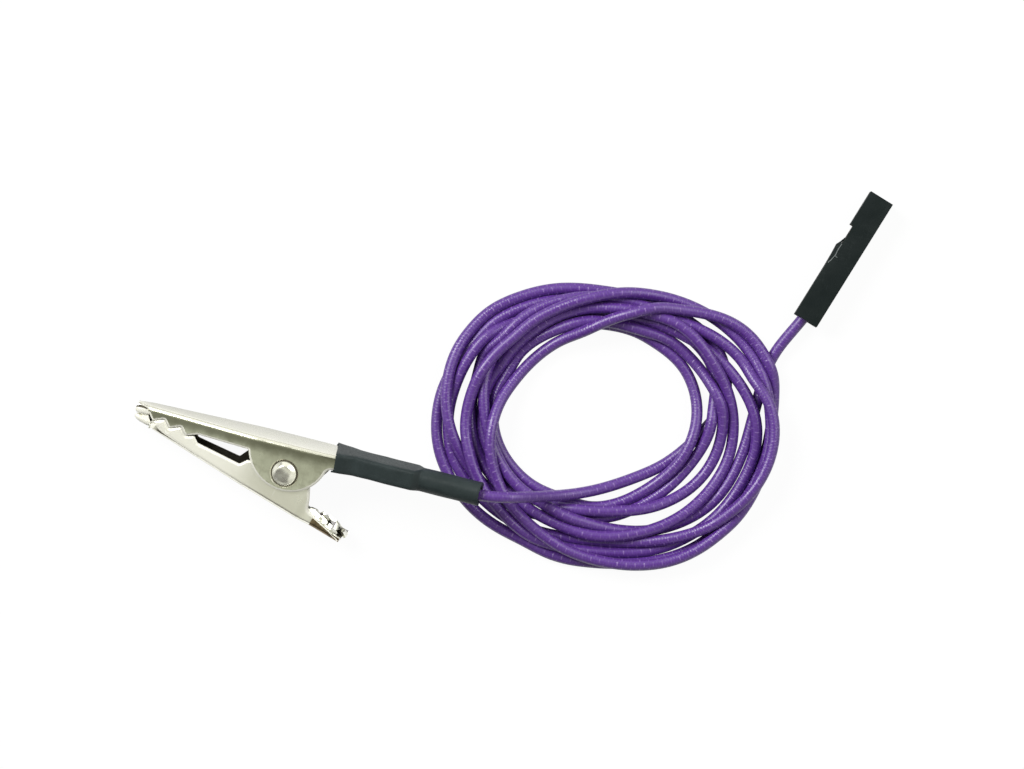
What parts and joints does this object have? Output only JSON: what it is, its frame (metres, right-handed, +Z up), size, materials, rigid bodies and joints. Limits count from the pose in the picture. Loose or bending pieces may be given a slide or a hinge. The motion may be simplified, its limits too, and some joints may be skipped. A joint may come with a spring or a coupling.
{
  "type": "alligator clip lead",
  "caption": "Sprung toothed clip soldered and sleeved to a loosely coiled thin insulated wire that ends in a one-way crimp socket connector.",
  "frame": {"origin": "middle of the clip and its sleeve, on the surface that the lead lies on", "axes": "+X back along the clip's upper jaw towards the wire, +Y to the side of the upper jaw's back, +Z up"},
  "size_m": [0.0667, 0.0452, 0.007],
  "materials": {
    "jaw_metal": "nickel plate over stamped sheet steel",
    "rivet_metal": "nickel plate",
    "spring_steel": "drawn spring wire",
    "solder": "solidified solder",
    "strands": "bare copper strands",
    "heat_shrink": "satin shrink tube",
    "insulation": "satin insulation with a woven look",
    "housing_plastic": "moulded, fine satin",
    "contact_metal": "tin plate over brass"
  },
  "bodies": {
    "upper_half": {"upper_jaw": "jaw_metal", "pivot_rivet": "rivet_metal", "torsion_spring": "spring_steel", "solder_joint": "solder", "clip_end_strands": "strands", "shrink_sleeve": "heat_shrink", "wire_lead_in": "insulation", "wire_coil": "insulation", "wire_lead_out": "insulation", "connector_housing": "housing_plastic", "socket_contact": "contact_metal", "contact_end_strands": "strands"},
    "lower_half": {"lower_jaw": "jaw_metal"}
  },
  "joints": [
    {"name": "jaw_pivot", "type": "hinge", "parent": "upper_half", "child": "lower_half", "pos_m": [-0.00135, 0.00095, 0.00269], "axis": [-0.1347, -0.2504, 0.9587], "range_deg": [0, 32], "stiffness_Nm_per_rad": 0.015, "springref_deg": -74.48, "deforming": ["torsion_spring"]}
  ]
}
